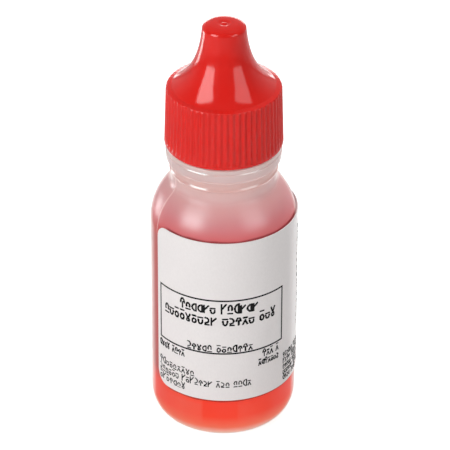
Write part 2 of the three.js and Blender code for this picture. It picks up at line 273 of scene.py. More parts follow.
class Paint:
    """A Principled material with helpers for the noise that drives its detail."""

    def __init__(self, name, **values):
        self.material = bpy.data.materials.new(name)
        self.material.use_nodes = True
        self.tree = self.material.node_tree
        self.shader = self.tree.nodes["Principled BSDF"]
        self.place = self.tree.nodes.new("ShaderNodeTexCoord").outputs["Object"]
        for key, value in values.items():
            self.shader.inputs[key.replace("_", " ")].default_value = value

    def node(self, kind, **inputs):
        made = self.tree.nodes.new(kind)
        for key, value in inputs.items():
            made.inputs[key].default_value = value
        return made

    def join(self, output, target):
        self.tree.links.new(output, target)

    def noise(self, size_mm, detail=3.0, stretch=(1, 1, 1)):
        """Noise with features of about the given size; stretch squeezes it along an axis."""
        move = self.node("ShaderNodeMapping")
        move.inputs["Scale"].default_value = stretch
        self.join(self.place, move.inputs["Vector"])
        made = self.node("ShaderNodeTexNoise", Scale=1 / (size_mm * MM), Detail=detail)
        self.join(move.outputs["Vector"], made.inputs["Vector"])
        return made.outputs["Fac"]

    def spread(self, source, low, high, start=0.3, end=0.7):
        """Maps start..end of a value to low..high."""
        made = self.node("ShaderNodeMapRange")
        made.inputs["From Min"].default_value = start
        made.inputs["From Max"].default_value = end
        made.inputs["To Min"].default_value = low
        made.inputs["To Max"].default_value = high
        self.join(source, made.inputs["Value"])
        return made.outputs["Result"]

    def maths(self, operation, *sources):
        made = self.node("ShaderNodeMath")
        made.operation = operation
        for source, target in zip(sources, made.inputs):
            self.join(source, target)
        return made.outputs["Value"]

    def sum(self, first, second):
        return self.maths("ADD", first, second)

    def product(self, first, second):
        return self.maths("MULTIPLY", first, second)

    def mix(self, source, first, second):
        """Mixes two colours; each is a fixed colour or the output of another node."""
        made = self.tree.nodes.new("ShaderNodeMix")
        made.data_type = "RGBA"
        colours = [s for s in made.inputs if s.type == "RGBA"]
        for socket, value in zip(colours, (first, second)):
            if isinstance(value, tuple):
                socket.default_value = value
            else:
                self.join(value, socket)
        self.join(source, made.inputs["Factor"])
        return next(s for s in made.outputs if s.type == "RGBA")

    def height(self, wobble_mm):
        """Height above the base as 0..1 over HEIGHT_SPAN, made slightly uneven by noise."""
        split = self.node("ShaderNodeSeparateXYZ")
        self.join(self.place, split.inputs["Vector"])
        level = self.spread(split.outputs["Z"], 0, 1, 0, HEIGHT_SPAN * MM)
        share = wobble_mm / HEIGHT_SPAN
        return self.sum(level, self.spread(self.noise(5.0, 2.0), -share, share))

    def ramp(self, source, stops):
        """Colours at heights in mm, blended between them."""
        made = self.node("ShaderNodeValToRGB")
        elements = made.color_ramp.elements
        while len(elements) < len(stops):
            elements.new(0.5)
        for element, (level, colour) in zip(elements, stops):
            element.position = level / HEIGHT_SPAN
            element.color = colour
        self.join(source, made.inputs["Fac"])
        return made.outputs["Color"]

    def seam(self, level):
        """Share of the painted highlight along the parting line's ridge: strongest on the line,
        and only on the shoulder.
        """
        across = (-math.sin(PARTING), math.cos(PARTING), 0)
        dot = self.node("ShaderNodeVectorMath")
        dot.operation = "DOT_PRODUCT"
        dot.inputs[1].default_value = across
        self.join(self.place, dot.inputs[0])
        distance = self.maths("ABSOLUTE", dot.outputs["Value"])
        near = self.spread(distance, 0.35, 0, 0.05 * MM, 0.32 * MM)
        shoulder = self.spread(level, 0, 1, 47 / HEIGHT_SPAN, 49 / HEIGHT_SPAN)
        return self.product(near, shoulder)

    def band(self, level, low, high, soft=1.5):
        """1 between two heights in mm, 0 outside them, with soft ends."""
        low, high, soft = (mm / HEIGHT_SPAN for mm in (low, high, soft))
        rising = self.spread(level, 0, 1, low - soft, low + soft)
        falling = self.spread(level, 1, 0, high - soft, high + soft)
        return self.product(rising, falling)

    def across(self, low, high, start, end):
        """Maps start..end, in mm to the right of the axis, to low..high."""
        split = self.node("ShaderNodeSeparateXYZ")
        self.join(self.place, split.inputs["Vector"])
        return self.spread(split.outputs["X"], low, high, start * MM, end * MM)

    def grazing(self, start, end):
        """0 where the surface faces the eye, rising to 1 where it turns away."""
        made = self.node("ShaderNodeLayerWeight", Blend=0.5)
        return self.spread(made.outputs["Facing"], 0, 1, start, end)

    def scatter(self, weight, radius, scale_mm):
        self.shader.inputs["Subsurface Weight"].default_value = weight
        self.shader.inputs["Subsurface Radius"].default_value = radius
        self.shader.inputs["Subsurface Scale"].default_value = scale_mm * MM

    def bump(self, layers):
        """Bump from (height source, depth in mm) layers, chained."""
        last = None
        for source, depth in layers:
            made = self.node("ShaderNodeBump", Distance=depth * MM, Strength=1.0)
            self.join(source, made.inputs["Height"])
            if last:
                self.join(last, made.inputs["Normal"])
            last = made.outputs["Normal"]
        self.join(last, self.shader.inputs["Normal"])


def cap_material():
    """Glossy red, evenly coloured, with very faint waviness from moulding."""
    paint = Paint("red_polypropylene", Specular_IOR_Level=0.36, IOR=1.5)
    shade = paint.spread(paint.noise(9.0, 2.0), 0, 1)
    colour = paint.mix(shade, srgb(232, 34, 26), srgb(226, 31, 23))
    paint.join(colour, paint.shader.inputs["Base Color"])
    rough = paint.spread(paint.noise(9.0, 1.0), 0.1, 0.13)
    paint.join(rough, paint.shader.inputs["Roughness"])
    paint.scatter(0.2, (1.0, 0.25, 0.2), 0.9)
    paint.bump([(paint.noise(0.25, 3.0), 0.0012), (paint.noise(4.0, 1.0), 0.012)])
    return paint.material


# What shows through the milky wall, by height in mm: a pale foot where the floor is thick, the
# liquid, then the empty shoulder lit from below by the liquid, and the milky neck.
WALL_COLOURS = (
    (0.0, srgb(232, 222, 218)),
    (1.3, srgb(236, 190, 174)),
    (3.2, srgb(238, 108, 80)),
    (6.0, srgb(240, 60, 32)),
    (10.2, srgb(238, 52, 28)),
    (45.5, srgb(224, 58, 42)),
    (48.4, srgb(196, 66, 62)),
    (50.1, srgb(203, 92, 96)),
    (50.4, srgb(204, 96, 100)),
    (53.5, srgb(203, 128, 131)),
    (58.0, srgb(210, 169, 167)),
    (61.0, srgb(210, 166, 160)),
    (63.0, srgb(204, 172, 170)),
    (65.3, srgb(208, 182, 178)),
)


# How strongly the wall reflects, by height in mm: most on the lower shoulder and the neck.
WALL_SHINE = ((48, 0.35), (51, 0.45), (53.6, 0.62), (56.2, 0.16), (57.6, 0.3), (59.4, 1))


def wall_material():
    """A milky wall, coloured by what shows through it, with a painted glow as if the light came
    through. It has a painted pale reflection where it turns away from the eye, and is darker
    and duller in the bare strip beside the label where it does."""
    paint = Paint("milky_polyethylene", IOR=1.51)
    level = paint.height(0.1)
    inner = paint.ramp(level, WALL_COLOURS)
    cloud = paint.spread(paint.noise(7.0, 2.0), 0.0, 0.02)
    clouded = paint.mix(cloud, inner, srgb(238, 200, 192))
    # The bare strip beside the label, where it turns away from the eye.
    beside = paint.product(paint.grazing(0.42, 0.66), paint.band(level, 11.5, 47.5))
    strip = paint.mix(beside, clouded, srgb(184, 66, 62))
    # Two faint upright bands of light in the liquid below the label.
    left = paint.product(paint.across(0, 1, -14, -9), paint.across(0.35, 0, -4.8, -4.2))
    right = paint.product(paint.across(0, 0.16, 2.9, 3.4), paint.across(1, 0, 5, 9))
    bands = paint.product(paint.sum(left, right), paint.band(level, 4.5, 9.9, 1.2))
    banded = paint.mix(bands, strip, srgb(234, 110, 90))
    # A thin shadow along the label's lower and upper edges, but not across its gap.
    lower, upper = paint.band(level, 10.0, 10.6, 0.12), paint.band(level, 48.9, 50.25, 0.15)
    shadow = paint.product(paint.sum(lower, upper), paint.across(0, 0.65, -12.2, -11.2))
    rimmed = paint.mix(shadow, banded, srgb(110, 0, 0))
    # The parting line is a real ridge; its pale colour, towards (246, 214, 208), is a painted
    # highlight.
    seam = paint.mix(paint.seam(level), rimmed, srgb(246, 214, 208))
    # Painted shade: the wall is darkened by up to 0.16 towards black from x = 3 mm round to its
    # left side, to even out the stronger light from the left.
    left_painted_shade = paint.mix(paint.across(0.16, 0, -BODY_R, 3), seam, (0, 0, 0, 1))
    # Painted reflection: where the wall turns away from the eye it is paled towards (244, 226,
    # 222), as if the white surroundings showed there.
    painted_edge_sheen = paint.mix(paint.grazing(0.72, 0.93), left_painted_shade, srgb(244, 226, 222))
    paint.join(painted_edge_sheen, paint.shader.inputs["Base Color"])
    # Painted glow: the wall emits its own painted colour at strength 0.27, standing in for light
    # coming through the wall.
    paint.join(painted_edge_sheen, paint.shader.inputs["Emission Color"])
    paint.shader.inputs["Emission Strength"].default_value = 0.27
    uneven = paint.spread(paint.noise(8.0, 1.0), -0.006, 0.006)
    rough = paint.spread(level, 0.28, 0.12, 57 / HEIGHT_SPAN, 60 / HEIGHT_SPAN)
    paint.join(paint.sum(rough, uneven), paint.shader.inputs["Roughness"])
    greys = [(mm, (share, share, share, 1)) for mm, share in WALL_SHINE]
    shine = paint.ramp(level, greys)
    paint.join(shine, paint.shader.inputs["Specular IOR Level"])
    paint.shader.inputs["Specular Tint"].default_value = (0.7, 1, 1, 1)
    paint.scatter(0.4, (1.0, 0.6, 0.5), 1.0)
    paint.bump([(paint.noise(0.4, 2.0), 0.0008), (paint.noise(5.0, 1.0), 0.01)])
    return paint.material


def liquid_material():
    """The solution, which is seen only where the wall is cut away or left out."""
    paint = Paint("orange_red_liquid", IOR=1.33, Roughness=0.08)
    shade = paint.spread(paint.noise(14.0, 1.0), 0, 1)
    colour = paint.mix(shade, srgb(255, 62, 28), srgb(250, 54, 24))
    paint.join(colour, paint.shader.inputs["Base Color"])
    paint.shader.inputs["Specular IOR Level"].default_value = 0.15
    paint.scatter(0.6, (1.0, 0.12, 0.05), 6)
    paint.bump([(paint.noise(5.0, 1.0), 0.004)])
    return paint.material


def label_material():
    """White paper with a faint fibre, and a painted glow where it turns away from the eye."""
    paint = Paint("label_stock", IOR=1.45)
    fibres = paint.noise(0.35, 5.0, (1, 1, 0.5))
    shade = paint.spread(fibres, 0, 1)
    colour = paint.mix(shade, srgb(246, 241, 240), srgb(242, 237, 236))
    paint.join(colour, paint.shader.inputs["Base Color"])
    rough = paint.spread(paint.noise(1.5, 3.0), 0.42, 0.52)
    paint.join(rough, paint.shader.inputs["Roughness"])
    # Painted glow: white emission up to 0.3 where the label turns away from the eye, standing in
    # for rim light from behind.
    paint.shader.inputs["Emission Color"].default_value = (1, 1, 1, 1)
    glow = paint.spread(paint.grazing(0.6, 0.95), 0, 0.3, 0, 1)
    paint.join(glow, paint.shader.inputs["Emission Strength"])
    paint.bump([(fibres, 0.0025)])
    return paint.material


def ink_material():
    paint = Paint("label_ink", IOR=1.45)
    shade = paint.spread(paint.noise(0.2, 3.0), 0, 1)
    colour = paint.mix(shade, srgb(8, 8, 9), srgb(16, 15, 16))
    paint.join(colour, paint.shader.inputs["Base Color"])
    paint.join(paint.spread(paint.noise(0.5), 0.5, 0.6), paint.shader.inputs["Roughness"])
    paint.shader.inputs["Specular IOR Level"].default_value = 0.2
    return paint.material


def soft_plastic(name, first, second, clear):
    """Unpigmented polyethylene, for the parts inside the cap; clear is how see-through it is."""
    paint = Paint(name, IOR=1.51)
    shade = paint.spread(paint.noise(3.0, 3.0), 0, 1)
    paint.join(paint.mix(shade, first, second), paint.shader.inputs["Base Color"])
    paint.join(paint.spread(paint.noise(0.5), 0.3, 0.4), paint.shader.inputs["Roughness"])
    paint.shader.inputs["Transmission Weight"].default_value = clear
    paint.scatter(0.8, (1.0, 0.9, 0.85), 1.2)
    paint.bump([(paint.noise(0.25), 0.0015)])
    return paint.material


# ---- bottle ------------------------------------------------------------------------------


def floor_profile(inset, steps):
    """Inside of the bottle, from the foot of the wall down to the axis."""
    ring_r = BODY_R - CORNER_ACROSS
    wall_r = BODY_R - WALL - inset
    floor_z = FLOOR + inset
    up = FLOOR_CORNER_Z - floor_z
    corner = arc(ring_r, FLOOR_CORNER_Z, wall_r - ring_r, up, 0, -math.pi / 2, steps)
    punt = curve(
        (RING_INNER_R, floor_z),
        (RING_INNER_R / 2, floor_z + PUNT_RISE),
        (0, floor_z + PUNT_RISE),
        steps,
    )
    return corner + punt


def bottle_profile():
    """The whole wall: from the axis under the base, up the outside, over the mouth and down
    the inside to the axis again."""
    ring_r = BODY_R - CORNER_ACROSS
    dome = arc(DOME_CENTRE_R, WALL_TOP_Z, DOME_R, DOME_R, 0, DOME_SWEEP, 30)
    end_r, end_z = dome[-1]
    pull = (WAIST_R, end_z + (end_r - WAIST_R) / math.tan(DOME_SWEEP))
    fillet = curve(dome[-1], pull, (WAIST_R, WAIST_Z), 10)
    collar = rounded(
        [
            (WAIST_R, WAIST_Z, 0),
            (WAIST_R, BEAD_Z - 0.6, 0.4),
            (BEAD_R, BEAD_Z, 0.2),
            (GROOVE_R, BEAD_Z + BEAD_HALF, 0.3),
            (GROOVE_R, GROOVE_TOP_Z, 0.6),
            (COLLAR_FOOT_R, COLLAR_FOOT_Z, 0.45),
            (COLLAR_R, COLLAR_STEP_Z, 0.12),
            (COLLAR_UPPER_R, COLLAR_STEP_Z + COLLAR_STEP_UP, 0.12),
            (COLLAR_UPPER_R, COLLAR_TOP_Z, 0.2),
            (NECK_R, COLLAR_TOP_Z, 0.25),
            (NECK_R, NECK_FOOT_Z, 0),
        ]
    )
    neck = line((NECK_R, NECK_FOOT_Z + 0.1), (NECK_R, NECK_THREAD_TOP_Z), 48)
    lip = rounded(
        [
            (NECK_R, NECK_THREAD_TOP_Z + 0.1, 0),
            (NECK_R, NECK_TOP_Z, 0.3),
            (BORE_R, NECK_TOP_Z, 0.3),
            (BORE_R, 65.0, 1.5),
            (INNER_WAIST_R, 62.5, 1.5),
            (INNER_WAIST_R, INNER_WAIST_Z, 0),
        ]
    )
    inner_r = DOME_R - WALL
    inner_dome = arc(DOME_CENTRE_R, WALL_TOP_Z, inner_r, inner_r, INNER_DOME_SWEEP, 0, 18)
    inner_pull = (INNER_WAIST_R, INNER_WAIST_Z - 1.2)
    inner_fillet = curve((INNER_WAIST_R, INNER_WAIST_Z - 0.1), inner_pull, inner_dome[0], 5)[:-1]
    return (
        curve((0, PUNT_RISE), (RING_INNER_R / 2, PUNT_RISE), (RING_INNER_R, 0), 16)
        + arc(ring_r, CORNER_UP, CORNER_ACROSS, CORNER_UP, -math.pi / 2, 0, 16)
        + line((BODY_R, CORNER_UP + 1), (BODY_R, WALL_TOP_Z - 1), 8)
        + dome
        + fillet[1:]
        + collar[1:]
        + neck
        + lip
        + inner_fillet
        + inner_dome
        + line((BODY_R - WALL, WALL_TOP_Z - 1), (BODY_R - WALL, 7.0), 4)
        + floor_profile(0, 12)
    )


def parting_columns(count):
    """Even columns with extra ones close to each parting line."""
    columns = set(even_columns(count))
    for centre in (PARTING, PARTING + math.pi):
        for offset in PARTING_COLUMNS:
            for sign in (-1, 1):
                columns.add((centre + sign * offset / BODY_R) % TURN)
    ordered = sorted(columns)
    kept = [ordered[0]]
    for angle in ordered[1:]:
        if angle - kept[-1] > 1e-4:
            kept.append(angle)
    return kept


def bottle_shape(r, z, angle):
    """Adds the outside thread, the parting line and the pinch-off line under the base."""
    across = r * math.sin(angle - PARTING)
    outside_neck = r > NECK_R - 0.05
    if NECK_FOOT_Z < z < NECK_THREAD_TOP_Z + 0.05 and outside_neck:
        return r + thread_height(z, angle, THREAD_START_Z, *NECK_THREAD), z
    if z < PUNT_RISE + 0.01 and r < RING_INNER_R - 0.3:
        fade = smooth_step((RING_INNER_R - 0.3 - r) / 2)
        return r, z - 0.16 * fade * math.exp(-((across / 0.3) ** 2))
    if WALL_TOP_Z - 0.1 < z < BEAD_Z - 0.1 and r > dome_middle(z):
        return r + 0.07 * math.exp(-((across / 0.15) ** 2)), z
    return r, z


def dome_middle(z):
    """Radius midway through the shoulder or waist wall at a height."""
    if z > WAIST_Z - 0.1:
        return (WAIST_R + INNER_WAIST_R) / 2
    lift = min(z - WALL_TOP_Z, DOME_R - WALL)
    return DOME_CENTRE_R + math.sqrt(max(0.0, (DOME_R - WALL / 2) ** 2 - lift * lift))


def build_bottle():
    profile, columns = bottle_profile(), parting_columns(180)
    obj = revolve("bottle_wall", profile, columns, wall_material(), bottle_shape)
    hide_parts("bottle")
    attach(obj, "bottle_body")


def build_liquid():
    """The liquid, a hair inside the wall, with a meniscus round its edge."""
    gap, meniscus = 0.1, 0.35
    side_r = BODY_R - WALL - gap
    surface = rounded(
        [
            (0, LIQUID_TOP_Z - meniscus, 0),
            (side_r - 1.6, LIQUID_TOP_Z - meniscus, 1.4),
            (side_r, LIQUID_TOP_Z, 0.15),
            (side_r, 44.0, 0),
        ],
        8,
    )
    profile = surface + line((side_r, 40.0), (side_r, 7.0), 6) + floor_profile(gap, 12)
    obj = revolve("solution", profile, even_columns(160), liquid_material())
    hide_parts("indicator_solution")
    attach(obj, "bottle_body")


# ---- label -------------------------------------------------------------------------------


def label_inset(z):
    """How far the label's ends draw in at a height, for its rounded corners."""
    from_end = min(z - LABEL_BOTTOM_Z, LABEL_TOP_Z - z)
    if from_end >= LABEL_CORNER:
        return 0.0
    short = LABEL_CORNER - from_end
    return LABEL_CORNER - math.sqrt(max(0.0, LABEL_CORNER**2 - short**2))


def build_label():
    """One thin sheet bent round the bottle, with rounded corners and a bare gap at the left."""
    steps = 150
    corner = [LABEL_CORNER * (1 - math.cos(i * math.pi / 16)) for i in range(9)]
    low = [LABEL_BOTTOM_Z + c for c in corner]
    high = [LABEL_TOP_Z - c for c in reversed(corner)]
    heights = low + [z for _, z in line((0, low[-1]), (0, high[0]), 10)][1:-1] + high
    points = []
    for radius in (LABEL_INNER_R, LABEL_OUTER_R):
        for z in heights:
            inset = label_inset(z) / LABEL_OUTER_R
            start = LABEL_START + inset
            sweep = LABEL_SWEEP - 2 * inset
            for j in range(steps + 1):
                angle = start + sweep * j / steps
                points.append((radius * math.cos(angle), radius * math.sin(angle), z))
    wide, tall = steps + 1, len(heights)
    sheet = wide * tall
    faces = []
    for i in range(tall - 1):
        for j in range(steps):
            a = i * wide + j
            face = (a, a + 1, a + wide + 1, a + wide)
            faces += [face, tuple(v + sheet for v in reversed(face))]
    rim = list(range(wide)) + [i * wide + steps for i in range(1, tall)]
    rim += [(tall - 1) * wide + j for j in range(steps - 1, -1, -1)]
    rim += [i * wide for i in range(tall - 2, 0, -1)]
    for a, b in zip(rim, rim[1:] + rim[:1]):
        faces.append((a, b, b + sheet, a + sheet))
    obj = make_object("label_wrap", points, faces, label_material())
    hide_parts("label")
    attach(obj, "bottle_body")


def bow(x, y, across, up, start, end):
    """A bent stroke: part of an ellipse, angles in degrees."""
    return arc(x, y, across, up, math.radians(start), math.radians(end), 7)


# Placeholder characters that spell nothing, as strokes in a box 1 wide and 1 high.
MARKS = (
    ([(0, 0), (0, 1)], [(0, 0.45), (0.9, 1)]),
    (bow(0.9, 0.5, 0.85, 0.5, 90, 270), [(0.9, 0), (0.9, 1)]),
    (bow(0.45, 0.3, 0.42, 0.3, 0, 360), [(0.1, 1), (0.8, 1)]),
    (bow(0.45, 0.45, 0.45, 0.45, 180, 360), [(0, 0.7), (0.9, 0.7)]),
    ([(0, 1), (0.45, 0.45), (0.9, 1)], bow(0.45, 0.2, 0.3, 0.2, 0, 360)),
    (bow(0.45, 0.55, 0.45, 0.45, 0, 180), [(0.45, 0), (0.45, 0.6)]),
    ([(0, 0), (0.9, 0)], bow(0.45, 0.55, 0.4, 0.35, -30, 210)),
    ([(0, 0), (0.45, 0.6), (0.9, 0)], [(0.1, 0.95), (0.8, 0.95)]),
    (bow(0.1, 0.62, 0.7, 0.38, -90, 90), [(0.1, 0), (0.8, 0)]),
)
INK_CELL = 0.12  # mm; the print is built of square cells this size
INK_LEFT = -17.0  # mm along the label from its front
INK_BOTTOM = 11.0  # mm above the base
INK_LIFT = 0.004  # mm between the label and the print
INK_THICK = 0.016


def on_stroke(point, stroke, half_width):
    """Whether a point is within half_width of a chain of straight segments."""
    for start, end in zip(stroke, stroke[1:]):
        along = end - start
        share = (point - start).dot(along) / along.length_squared
        if (point - start - along * min(1.0, max(0.0, share))).length < half_width:
            return True
    return False


class Print:
    """Black print on the label, drawn on a grid of small cells and then made into a mesh."""

    def __init__(self):
        self.cells = set()
        self.dice = random.Random(7)

    def fill(self, left, right, low, high):
        """Blackens a rectangle, in whole cells."""
        for i in range(left, right):
            for j in range(low, high):
                self.cells.add((i, j))

    def column(self, mm):
        return round((mm - INK_LEFT) / INK_CELL)

    def row(self, mm):
        return round((mm - INK_BOTTOM) / INK_CELL)

    def box(self, left, right, low, high, thick):
        """A frame with its corners in mm and lines so many cells thick."""
        a, b, c, d = self.column(left), self.column(right), self.row(low), self.row(high)
        self.fill(a, b, c, c + thick)
        self.fill(a, b, d - thick, d)
        self.fill(a, a + thick, c, d)
        self.fill(b - thick, b, c, d)

    def text(self, left, right, low, tall, half_width, words):
        """Marks from left to right, standing on low, all in mm. half_width is half a stroke's
        thickness and words is how many marks each word has."""
        space, short = 0.7, 0.76
        advance = (right - left) / (sum(words) + space * (len(words) - 1))
        x = left
        for count in words:
            for place in range(count):
                high = place == 0 or self.dice.random() < 0.35
                self.mark(x, low, 0.74 * advance, tall if high else short * tall, half_width)
                x += advance
            x += space * advance

    def mark(self, x, low, wide, tall, half_width):
        """Blackens the cells whose centres lie on the strokes of a mark chosen by chance."""
        strokes = [
            [Vector((x + u * wide, low + v * tall)) for u, v in stroke]
            for stroke in self.dice.choice(MARKS)
        ]
        columns = range(self.column(x - half_width), self.column(x + wide + half_width) + 1)
        rows = range(self.row(low - half_width), self.row(low + tall + half_width) + 1)
        for i in columns:
            for j in rows:
                centre = Vector((i + 0.5, j + 0.5)) * INK_CELL
                centre += Vector((INK_LEFT, INK_BOTTOM))
                if any(on_stroke(centre, stroke, half_width) for stroke in strokes):
                    self.cells.add((i, j))

    def tidy_corners(self):
        """Fills a cell wherever two cells would touch only along one edge."""
        for i, j in sorted(self.cells):
            for di in (-1, 1):
                if (i + di, j + 1) in self.cells:
                    if (i + di, j) not in self.cells and (i, j + 1) not in self.cells:
                        self.cells.add((i + di, j))

    def build(self, low_r, high_r):
        self.tidy_corners()
        points, index, faces = [], {}, []

        def corner(i, j, top):
            key = (i, j, top)
            if key not in index:
                index[key] = len(points)
                radius = high_r if top else low_r
                angle = (INK_LEFT + i * INK_CELL) / LABEL_OUTER_R - math.pi / 2
                z = INK_BOTTOM + j * INK_CELL
                points.append((radius * math.cos(angle), radius * math.sin(angle), z))
            return index[key]

        def square(i, j, top):
            ring = ((i, j), (i + 1, j), (i + 1, j + 1), (i, j + 1))
            return [corner(a, b, top) for a, b in ring]

        for i, j in sorted(self.cells):
            top, bottom = square(i, j, True), square(i, j, False)
            faces.append(top)
            faces.append(bottom[::-1])
            beside = ((i, j - 1), (i + 1, j), (i, j + 1), (i - 1, j))
            for side, other in enumerate(beside):
                if other not in self.cells:
                    k = (side + 1) % 4
                    faces.append([bottom[side], bottom[k], top[k], top[side]])
        return make_object("label_print", points, faces, ink_material(), 30.0)


def build_print():
    """A thin frame with two bold lines and a smaller one, small print below it, and two blocks
    of close print round to the right. Each line gives its left and right ends and its height
    above the base, in mm along the label, and then what text() says."""
    ink = Print()
    ink.box(-15.9, 14.4, 22.4, 36.1, 3)
    ink.text(-9.6, 7.9, 32.75, 2.3, 0.21, (6, 6))
    ink.text(-14.0, 12.4, 29.75, 2.3, 0.21, (9, 5, 3))
    ink.text(-7.9, 6.7, 23.0, 1.7, 0.15, (5, 7))
    ink.text(-16.1, -8.5, 20.4, 1.55, 0.14, (4, 4))
    ink.text(-16.1, -6.1, 16.0, 1.6, 0.12, (9,))
    ink.text(-16.1, 6.4, 13.95, 1.6, 0.12, (6, 7, 3, 4))
    ink.text(-16.1, -8.3, 11.9, 1.6, 0.12, (7,))
    ink.text(8.95, 13.5, 20.4, 1.7, 0.14, (3, 1))
    ink.text(7.9, 13.5, 18.4, 1.5, 0.14, (7,))
    close_print = (
        (17.3, (6, 5, 4)),
        (15.8, (4, 7, 3)),
        (14.3, (5, 5, 5)),
        (12.9, (6, 4, 5)),
        (11.5, (4, 4, 6)),
    )
    for low, words in close_print:
        ink.text(15.0, 27.0, low, 1.2, 0.12, words)
    for i in range(15):
        words = tuple(ink.dice.choice((3, 4, 5, 6, 7)) for _ in range(4))
        ink.text(22.4, 40.5, 21.4 + 1.72 * i, 1.2, 0.1, words)
    obj = ink.build(LABEL_OUTER_R + INK_LIFT, LABEL_OUTER_R + INK_LIFT + INK_THICK)
    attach(obj, "bottle_body")


# ---- dropper tip and seal ----------------------------------------------------------------


def build_tip():
    """The press-fit tip: a nozzle with a small orifice, a flange on the neck's rim and a plug."""
    corners = [
        (ORIFICE_R, 89.0, 0),
        (ORIFICE_R, TIP_TOP_Z, 0.1),
        (1.75, TIP_TOP_Z, 0.5),
        (2.4, 90.0, 0.8),
        (3.1, 86.0, 3.0),
        (4.1, 79.6, 2.5),
        (5.6, TIP_FLANGE_TOP_Z, 0.6),
        (TIP_FLANGE_R, TIP_FLANGE_TOP_Z, 0.25),
        (TIP_FLANGE_R, TIP_FLANGE_Z, 0.1),
        (PLUG_R, TIP_FLANGE_Z, 0.1),
        (PLUG_R, 70.4, 0.5),
        (PLUG_R - 0.5, PLUG_BOTTOM_Z, 0.15),
        (PLUG_INNER_R, PLUG_BOTTOM_Z, 0.15),
        (PLUG_INNER_R, 75.5, 0.8),
        (4.2, 77.1, 0.8),
        (2.2, 81.0, 2.0),
        (1.1, 88.2, 0.6),
        (ORIFICE_R, 89.0, 0),
    ]
    pale, dull = srgb(244, 241, 238), srgb(238, 235, 231)
    material = soft_plastic("tip_polyethylene", pale, dull, 0.45)
    obj = revolve("dropper_plug", rounded(corners), even_columns(96), material)
    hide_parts("dropper_tip")
    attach(obj, "bottle_body")


def build_seal():
    """A disc under the top of the spire, with a pin that closes the orifice."""
    corners = [
        (0, PIN_BOTTOM_Z, 0),
        (PIN_R - 0.15, PIN_BOTTOM_Z, 0.08),
        (PIN_R, PIN_BOTTOM_Z + 0.4, 0.1),
        (PIN_R, SEAL_BOTTOM_Z, 0.15),
        (SEAL_R, SEAL_BOTTOM_Z, 0.15),
        (SEAL_R, SEAL_TOP_Z, 0.15),
        (0, SEAL_TOP_Z, 0),
    ]
    pale, dull = srgb(244, 243, 240), srgb(238, 237, 233)
    material = soft_plastic("seal_polyethylene", pale, dull, 0.0)
    obj = revolve("seal_pin", rounded(corners), even_columns(64), material)
    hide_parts("tip_seal")
    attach(obj, "seal_carrier")


# ---- screw cap ---------------------------------------------------------------------------


def spire_radius(z):
    return SPIRE_R + (CAP_RIM_R - SPIRE_R) * math.exp(-SPIRE_DECAY * (z - CAP_RIM_Z))


def spire_inner_radius(z):
    fall = math.exp(-SPIRE_DECAY * (z + SPIRE_INNER_DROP - CAP_RIM_Z))
    return SPIRE_INNER_R + (CAP_RIM_R - SPIRE_R) * fall


def skirt_radius(z):
    """Crest radius of the ribs at a height; the skirt has a little draft."""
    up = (z - CAP_FOOT_Z) / (CAP_DRAFT_Z - CAP_FOOT_Z)
    return CAP_FOOT_R + (CAP_DRAFT_R - CAP_FOOT_R) * up


def cap_profile():
    """The cap's foot, its ribbed skirt and shoulder, its spire and crown, and its inside."""
    foot = rounded(
        [
            (CAP_BOTTOM_R, CAP_BOTTOM_Z, 0),
            (CAP_FOOT_R - 0.08, CAP_BOTTOM_Z + 0.2, 0.2),
            (CAP_FOOT_R, CAP_FOOT_Z - 0.05, 0),
        ],
        4,
    )
    skirt = [(skirt_radius(z), z) for _, z in line((0, CAP_FOOT_Z), (0, 77.9), 14)]
    painted_edge_sheen = rounded(
        [
            (skirt_radius(78.0), 78.0, 0),
            (skirt_radius(78.75), 78.75, 0.5),
            (CAP_SHOULDER_R, CAP_SHOULDER_Z, 0.3),
            (CAP_RIM_R, CAP_RIM_Z, 0.35),
            (spire_radius(CAP_RIM_Z + 0.4), CAP_RIM_Z + 0.4, 0),
        ],
        9,
    )
    spire = [
        (spire_radius(z), z)
        for _, z in line((0, CAP_RIM_Z + 0.6), (0, SPIRE_TOP_Z - 0.1), 44)
    ]
    flat_r = 2.2
    across = spire_radius(SPIRE_TOP_Z) - flat_r
    head = arc(flat_r, SPIRE_TOP_Z, across, CAP_TOP_Z - SPIRE_TOP_Z, 0, math.pi / 2, 12)
    gate = [(1.6, CAP_TOP_Z + 0.03), (1.15, CAP_TOP_Z + 0.04), (0.95, CAP_TOP_Z - 0.06)]
    gate += [(0.6, CAP_TOP_Z - 0.07), (0.42, CAP_TOP_Z + 0.05), (0.2, CAP_TOP_Z + 0.07)]
    crown = [(0, CAP_TOP_Z + 0.07)]
    inside = [(0, SPIRE_ROOF_Z)]
    inside += rounded(
        [
            (2.6, SPIRE_ROOF_Z, 0),
            (spire_inner_radius(SPIRE_ROOF_Z - 0.1), SPIRE_ROOF_Z, 0.25),
            (spire_inner_radius(91.6), 91.6, 0),
        ],
        3,
    )[:-1]
    inside += [
        (spire_inner_radius(z), z) for _, z in line((0, 91.5), (0, CAP_ROOF_Z), 16)
    ]
    inside += [(10.8, CAP_ROOF_Z), (CAP_BORE_R, CAP_ROOF_Z - 0.3)]
    inside += line((CAP_BORE_R, CAP_THREAD_TOP_Z), (CAP_BORE_R, CAP_BOTTOM_Z + 0.4), 48)
    inside += [(CAP_BORE_R + 0.3, CAP_BOTTOM_Z), (CAP_BOTTOM_R, CAP_BOTTOM_Z)]
    return foot, skirt + painted_edge_sheen, spire + head + gate + crown, inside


def rib_cut(r, z, angle):
    """Radius of the ribbed skirt: grooves with rounded ribs, cut off by the cap's outline."""
    wave = 0.5 - 0.5 * math.cos(RIBS * (angle - RIB_PHASE))
    start = smooth_step((z - CAP_FOOT_Z) / 0.5)
    groove = skirt_radius(min(z, CAP_SHOULDER_Z)) - RIB_DEPTH * start * wave
    return min(r, groove)


